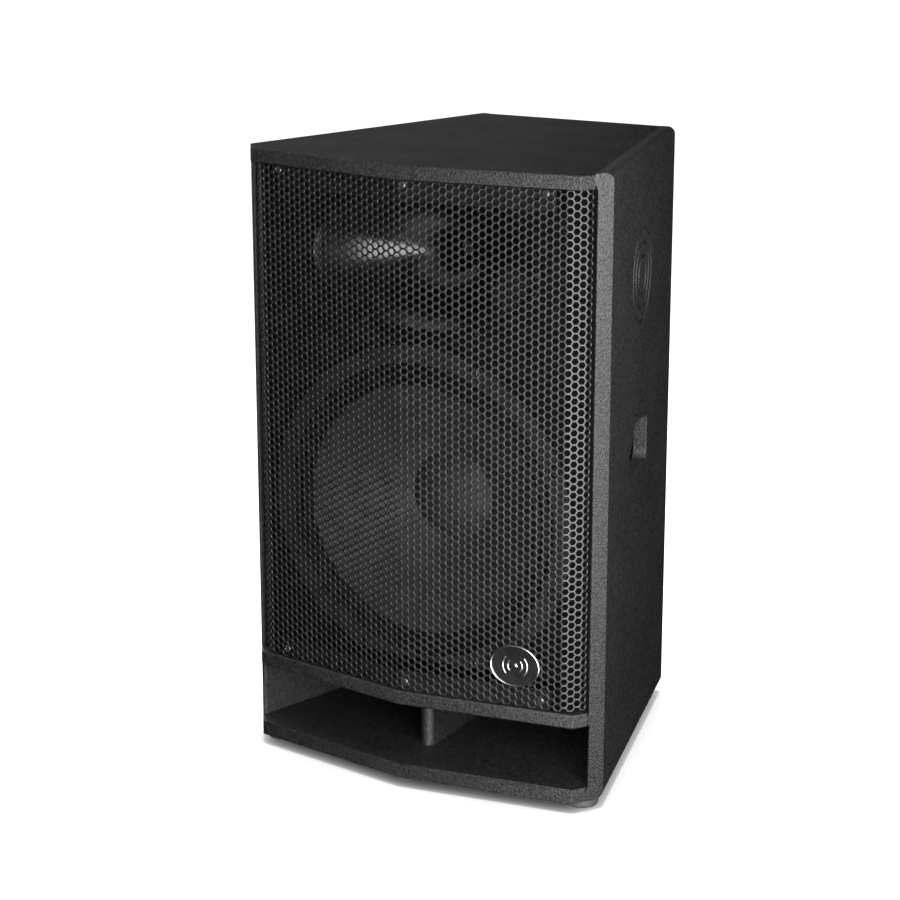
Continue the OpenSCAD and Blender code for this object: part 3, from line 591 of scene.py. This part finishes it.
def grille():
    """The perforated sheet, cut to size and bent."""
    low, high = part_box("grille")
    height = high.z - low.z
    bm = bmesh_of(*perforated_sheet(height))
    for point, outward in (
        ((HALF_SHEET, 0, 0), (1, 0, 0)),
        ((-HALF_SHEET, 0, 0), (-1, 0, 0)),
        ((0, height, 0), (0, 1, 0)),
        ((0, 0, 0), (0, -1, 0)),
    ):
        trim(bm, point, outward)
    crease_rounding = BEND / 2 * math.tan(VEE)
    bend_sheet(bm, low.y + crease_rounding, low.z)
    add_piece("grille_sheet", tidy(bm, "grille_sheet", sharp=50), "grille_steel", ["grille"])


# ---------------------------------------------------------------- screws


def islands(mesh):
    """Point arrays of the separate solids in a mesh."""
    bm = bmesh.new()
    bm.from_mesh(mesh)
    bmesh.ops.remove_doubles(bm, verts=bm.verts, dist=0.001 * MM)
    waiting = set(bm.verts)
    found = []
    while waiting:
        reached = [waiting.pop()]
        for vertex in reached:
            for edge in vertex.link_edges:
                other = edge.other_vert(vertex)
                if other in waiting:
                    waiting.remove(other)
                    reached.append(other)
        found.append(np.array([vertex.co for vertex in reached]))
    bm.free()
    return found


def screw_place(points):
    """Frame with +z out of a screw's head and its origin under the head, and the screw's sizes."""
    middle = (points.min(axis=0) + points.max(axis=0)) / 2
    centred = points - points.mean(axis=0)
    axis = np.linalg.svd(centred, full_matrices=False)[2][0]
    along = (points - middle) @ axis
    away = np.linalg.norm((points - middle) - np.outer(along, axis), axis=1)
    head_r = away.max()
    in_head = along[away > 0.9 * head_r]
    if in_head.mean() < 0:
        axis, along, in_head = -axis, -along, -in_head
    under = in_head.min()
    turn = Vector((0, 0, 1)).rotation_difference(Vector(axis)).to_matrix().to_4x4()
    place = Matrix.Translation(Vector(middle + axis * under)) @ turn
    return place, head_r, in_head.max() - under, away.min(), under - along.min()


def screw_head(place, radius, height):
    """Pan head with a cross recess."""
    rings, segments = 9, 48
    arm = 0.17 * radius
    reach = 0.62 * radius
    recess = 0.45 * height
    points = [place @ Vector((0, 0, height - recess))]
    for ring in range(1, rings + 1):
        share = ring / rings
        for i in range(segments):
            turn = 2 * math.pi * i / segments
            x, y = (share * radius * f(turn) for f in (math.cos, math.sin))
            in_cross = min(abs(x), abs(y)) < arm and share * radius < reach
            dome = height * (1 - 0.35 * share**2 - 0.35 * share**8)
            points.append(place @ Vector((x, y, dome - (recess if in_cross else 0))))
    for i in range(segments):
        turn = 2 * math.pi * i / segments
        points.append(place @ Vector((radius * math.cos(turn), radius * math.sin(turn), 0)))
    faces = [(0, 1 + i, 1 + (i + 1) % segments) for i in range(segments)]
    faces += grid_faces(rings + 1, segments, first=1)
    faces.append([1 + rings * segments + i for i in range(segments)])
    return bmesh_of(points, faces)


def screws(node):
    """Detailed heads and shanks stand for all the screws of one CAD node."""
    made = []
    for points in islands(NODES[node].data):
        place, head_r, head_h, shank_r, length = screw_place(points)
        made.append(screw_head(place, head_r, head_h))
        shank = [(0, 0), (shank_r, 0), (shank_r, -0.9 * length), (0, -length)]
        made.append(lathe(shank, place, segments=16, closed=False))
    add_piece(f"{node}_detail", merge(made, f"{node}_detail"), NODE_SLOTS[node], [node])


# ---------------------------------------------------------------- badge


def badge_place():
    """Frame on the grille's face behind the badge, +z out of the sheet."""
    low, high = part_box("badge_rim")
    thickness = 2.8 * MM
    turn = Matrix.Rotation(VEE, 4, "Z") @ Matrix.Rotation(math.radians(90), 4, "X")
    return Matrix.Translation((low + high) / 2) @ turn @ Matrix.Translation((0, 0, -thickness / 2))


def oval(half_w, half_h, height, segments=96):
    return [
        Vector((half_w * math.cos(turn), half_h * math.sin(turn), height))
        for turn in (2 * math.pi * i / segments for i in range(segments))
    ]


def oval_stack(rings, place, segments=96):
    """bmesh skinned over oval rings given as (half width, half height, height)."""
    points = [place @ point for ring in rings for point in oval(*ring, segments)]
    return bmesh_of(points, grid_faces(len(rings), segments))


def arc_strip(place, radius, mid_turn, half_turn, half_w, low, high):
    """Raised bar that follows an arc, rounded on top."""
    steps = 16
    section = [(-1, low), (-1, high - 0.25 * MM), (-0.5, high), (0.5, high), (1, high - 0.25 * MM), (1, low)]
    points = []
    for i in range(steps + 1):
        turn = mid_turn + half_turn * (2 * i / steps - 1)
        for side, height in section:
            r = radius + side * half_w
            points.append(place @ Vector((r * math.cos(turn), r * math.sin(turn), height)))
    faces = grid_faces(steps + 1, len(section))
    faces += [tuple(range(len(section))), tuple(range(steps * len(section), len(points)))]
    return bmesh_of(points, faces)


def badge():
    """Domed oval plate with a raised rim and a dot between two pairs of arcs."""
    place = badge_place()
    half_w, half_h, rim_w = 29.5 * MM, 24.5 * MM, 2.2 * MM
    face = 1.3 * MM
    crown = 0.7 * MM
    inner_w, inner_h = half_w - rim_w, half_h - rim_w
    plate = [(inner_w, inner_h, 0), (inner_w, inner_h, face)]
    for step in range(1, 9):
        share = 1 - step / 8
        plate.append((inner_w * share, inner_h * share, face + crown * (1 - share**2)))
    add_piece(
        "badge_plate_domed", tidy(oval_stack(plate, place), "badge_plate_domed"),
        "badge_gloss", ["badge_plate"],
    )
    rim_section = [(0, 0), (0, 1.9), (-0.35, 2.5), (-1.1, 2.8), (-1.85, 2.5), (-2.2, 1.7), (-2.2, 0), (0, 0)]
    rim = [(half_w + d * MM, half_h + d * MM, z * MM) for d, z in rim_section]
    top = 2.5 * MM
    parts = [oval_stack(rim, place), lathe(
        [(0, top), (2.6 * MM, top), (3.2 * MM, top - 0.3 * MM), (3.2 * MM, face)],
        place, segments=40, closed=False,
    )]
    for radius in (8.5 * MM, 14.5 * MM):
        for mid_turn in (0, math.pi):
            parts.append(
                arc_strip(place, radius, mid_turn, math.radians(42), 1.1 * MM, face, top)
            )
    add_piece("badge_rim_raised", merge(parts, "badge_rim_raised"), "bright_rim", ["badge_rim"])


# ---------------------------------------------------------------- woofer


def driver_place(height):
    """Frame on the baffle's face at that height: +z points forward."""
    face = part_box("front_baffle")[0].y
    return Matrix.Translation((0, face, height)) @ Matrix.Rotation(math.radians(90), 4, "X")


def middle_height(node):
    low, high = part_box(node)
    return (low.z + high.z) / 2


def in_mm(pairs):
    return [(radius * MM, height * MM) for radius, height in pairs]


def cone_height(radius):
    """Depth in millimetres of the cone's face behind the baffle at a radius in millimetres."""
    return -70 + 71.5 * max(0.0, (radius - 52) / 98) ** 1.12


def woofer_cone(place):
    """Paper cone with shallow pressed ribs."""
    steps = 56
    radii = [52 + 98 * i / steps for i in range(steps + 1)]
    ribs = {radius: 0.5 * max(0.0, math.cos((radius - 84) / 24 * 2 * math.pi)) ** 12 for radius in radii}
    front = [(radius, cone_height(radius) + ribs[radius]) for radius in radii]
    rear = [(radius, cone_height(radius) - 1.6) for radius in reversed(radii)]
    neck = [(38.6, -82.6), (38.6, -81)]
    mesh = tidy(lathe(in_mm(front + rear + neck), place, 160), "woofer_cone_paper")
    add_piece("woofer_cone_paper", mesh, "paper_cone", ["woofer_cone"], CONE_BODY)


def dust_cap(place):
    """Domed cap, a thin shell whose edge sits on the cone."""
    edge, rise = 51.8, 17
    ball = (edge**2 + rise**2) / (2 * rise)
    outer = [
        (edge * i / 24, -70 + rise - ball + math.sqrt(ball**2 - (edge * i / 24) ** 2)) for i in range(25)
    ]
    inner = [(radius * 0.965, height - 1.1) for radius, height in reversed(outer)]
    mesh = tidy(lathe(in_mm(outer + inner), place, 128), "woofer_dust_cap_domed")
    slot = NODE_SLOTS["woofer_dust_cap"]
    add_piece("woofer_dust_cap_domed", mesh, slot, ["woofer_dust_cap"], CONE_BODY)


def ring_cloth(name, node, place, inner, outer, height, slot, waves, swing):
    """Corrugated cloth ring whose inner edge follows the cone and whose outer edge stays still."""
    steps = 72

    def wave(share):
        return height + swing * math.sin(2 * math.pi * waves * share)

    shares = [i / steps for i in range(steps + 1)]
    front = [(inner + (outer - inner) * share, wave(share) + 0.8) for share in shares]
    rear = [(inner + (outer - inner) * share, wave(share)) for share in reversed(shares)]
    mesh = tidy(lathe(in_mm(front + rear), place, 144), name)
    piece = add_piece(name, mesh, slot, [node], body=None)
    centre = place.translation
    still, moving = (centre + Vector((radius * MM, 0, 0)) for radius in (outer, inner))
    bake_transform(piece, CABINET, CONE_BODY, still, moving)
    weights = []
    for vertex in mesh.vertices:
        radius = math.hypot(vertex.co.x - centre.x, vertex.co.z - centre.z) / MM
        share = min(1.0, max(0.0, (outer - radius) / (outer - inner)))
        weights.append(share * share * (3 - 2 * share))
    mesh.attributes["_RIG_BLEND"].data.foreach_set("value", weights)


def woofer():
    place = driver_place(middle_height("woofer_cone"))
    woofer_cone(place)
    dust_cap(place)
    ring_cloth("woofer_surround_cloth", "woofer_surround", place, 146, 172, 2.4, "treated_cloth", 2.5, 2.2)
    ring_cloth("woofer_spider_cloth", "woofer_spider", place, 38.6, 109, -92, "spider_cloth", 5, 1.8)
    eased("woofer_frame", 0.8 * MM)
    eased("woofer_gasket", 0.9 * MM)


# ---------------------------------------------------------------- horn


def horn_rings():
    """(half width, half height, height) rings of the flare from its throat, and of the lip and flange."""
    mouth_w, mouth_h, throat, depth = 139, 75, 12.5, 115
    steps = 44
    rings = []
    for i in range(steps + 1):
        share = i / steps
        flare = share**2.1
        rings.append((
            throat + (mouth_w - throat) * flare, throat + (mouth_h - throat) * flare,
            -depth + (depth + 2.6) * share,
        ))
    lip = [(0.9, 3.35), (2, 3.8), (3.4, 4), (11.4, 4), (11.85, 3.8), (12, 3.4), (12, 0)]
    return rings, [(mouth_w + grow, mouth_h + grow, height) for grow, height in lip]


def horn():
    """Smooth oval flare with a rounded lip, a screwed flange and a round driver flange."""
    place = driver_place(middle_height("horn"))
    flare, lip = horn_rings()
    wall = 3
    outer = [
        (half_w + wall, half_h + wall, min(height, 0)) for half_w, half_h, height in reversed(flare)
    ]
    rings = [tuple(value * MM for value in ring) for ring in flare + lip + outer + flare[:1]]
    shell = oval_stack(rings, place, 144)
    flange = lathe(in_mm([(15, -115), (50, -115), (50, -108), (15, -108)]), place, 96)
    add_piece("horn_flare", merge([shell, flange], "horn_flare"), "horn_plastic", ["horn"])


# ---------------------------------------------------------------- feet


def feet():
    """Four moulded rubber feet with a dished base and a rounded rim."""
    profile = in_mm([
        (6, 0.6), (7, 0), (16.6, 0), (18.2, 0.5), (19, 1.6), (19.2, 3.2), (19.9, 10.6),
        (19.6, 11.6), (18.8, 12), (2.2, 12), (2.2, 6), (6, 6),
    ])
    parts = []
    for points in islands(NODES["feet"].data):
        spot = (points.min(axis=0) + points.max(axis=0)) / 2
        parts.append(lathe(profile, Matrix.Translation((spot[0], spot[1], 0)), 72))
    add_piece("feet_moulded", merge(parts, "feet_moulded"), "foot_rubber", ["feet"])


# ---------------------------------------------------------------- studio


def floor():
    """Pale seamless floor that stays out of the reflections and has a lamp of its own."""
    bpy.ops.mesh.primitive_plane_add(size=60)
    plane = bpy.context.object
    plane.name = "floor"
    finish = grained("studio_floor", grey(0.86), grey(0.9), 2, (0.85, 0.95), 60, 0.2, specular=0.0)
    plane.data.materials.append(finish.material)
    plane.visible_glossy = False
    plane.visible_diffuse = False
    return plane


def softbox(name, azimuth, distance, height, size, power, lit):
    """Area light facing the object's middle, for the objects of the lit collection.

    Azimuth 0 is in front of the object and 90 on its right.
    """
    turn = math.radians(azimuth)
    spot = Vector((distance * math.sin(turn), -distance * math.cos(turn), height))
    low, high = CAD_BOX
    light = bpy.data.lights.new(name, "AREA")
    light.shape = "RECTANGLE"
    light.size, light.size_y = size
    light.energy = power
    lamp = bpy.data.objects.new(name, light)
    lamp.location = spot
    lamp.rotation_euler = ((low + high) / 2 - spot).to_track_quat("-Z", "Y").to_euler()
    lamp.visible_camera = False
    lamp.light_linking.receiver_collection = lit
    bpy.context.scene.collection.objects.link(lamp)


def lit_group(name, pieces):
    """Collection of the pieces that a lamp lights."""
    group = bpy.data.collections.new(name)
    for piece in pieces:
        group.objects.link(piece)
    return group


def studio():
    """White surroundings that light the diffuse colours, and softboxes that make the reflections.

    The key lamp stays below the top, and the right side board has a lamp of its own further to the side,
    so that neither shines white when it is seen from behind.
    """
    world = bpy.data.worlds.new("studio")
    world.use_nodes = True
    background = world.node_tree.nodes["Background"]
    background.inputs["Color"].default_value = (1, 1, 1, 1)
    background.inputs["Strength"].default_value = 1.2
    world.cycles_visibility.glossy = False
    bpy.context.scene.world = world
    pieces = [piece for piece in bpy.context.scene.objects if piece.type == "MESH"]
    right_board = bpy.data.objects["right_side_panel_painted"]
    speaker = lit_group("speaker", pieces)
    others = lit_group("others", [piece for piece in pieces if piece != right_board])
    board_only = lit_group("board_only", [right_board])
    stage = lit_group("stage", [floor()])
    softbox("key", 41, 1.0, 0.27, (0.8, 0.9), 46, others)
    softbox("board_light", 60, 1.0, 0.68, (0.7, 1.8), 54, board_only)
    softbox("upper_left", -66, 1.1, 2.2, (0.8, 0.8), 13, speaker)
    softbox("left_fill", -75, 2.5, 0.9, (1.2, 1.6), 5, speaker)
    softbox("back_left", 250, 2.5, 1.0, (1.2, 1.6), 8, speaker)
    softbox("top_glow", 215, 2.5, 1.0, (1.2, 1.6), 2.2, speaker)
    softbox("low_back", 232, 2.2, 0.2, (1.2, 0.8), 14, speaker)
    softbox("floor_light", 0, 0, 3.5, (1.0, 1.0), 160, stage)


def camera():
    """Camera in front of the cabinet, to its right and above its top."""
    tilt_down, turn = 15.44, 29.78
    view = bpy.data.cameras.new("camera")
    view.lens = 93.6
    view.sensor_width = 36
    view.clip_end = 100
    eye = bpy.data.objects.new("camera", view)
    eye.location = (1.2956, -2.3567, 1.0952)
    eye.rotation_euler = (math.radians(90 - tilt_down), 0, math.radians(turn))
    bpy.context.scene.collection.objects.link(eye)
    bpy.context.scene.camera = eye
    bpy.context.scene.view_settings.view_transform = "Standard"


def dress_cad_nodes():
    """Gives every CAD node the material of its slot in the record."""
    for name, node in NODES.items():
        node.data.materials.clear()
        node.data.materials.append(FINISHES[NODE_SLOTS[name]])


dress_cad_nodes()
for board in BOARDS:
    painted_board(board)
grille()
badge()
woofer()
horn()
feet()
for screw_node in (
    "grille_screws", "woofer_screws", "horn_screws", "connector_screws", "pole_socket_screws", "foot_screws",
):
    screws(screw_node)
for moulded in (
    "connector_dish", "left_speaker_socket", "right_speaker_socket", "mode_switch_body",
    "left_handle_cup", "right_handle_cup", "pole_socket",
):
    eased(moulded, 0.5 * MM)
eased("mode_switch_slider", 0.3 * MM, "mode_switch")
camera()
studio()
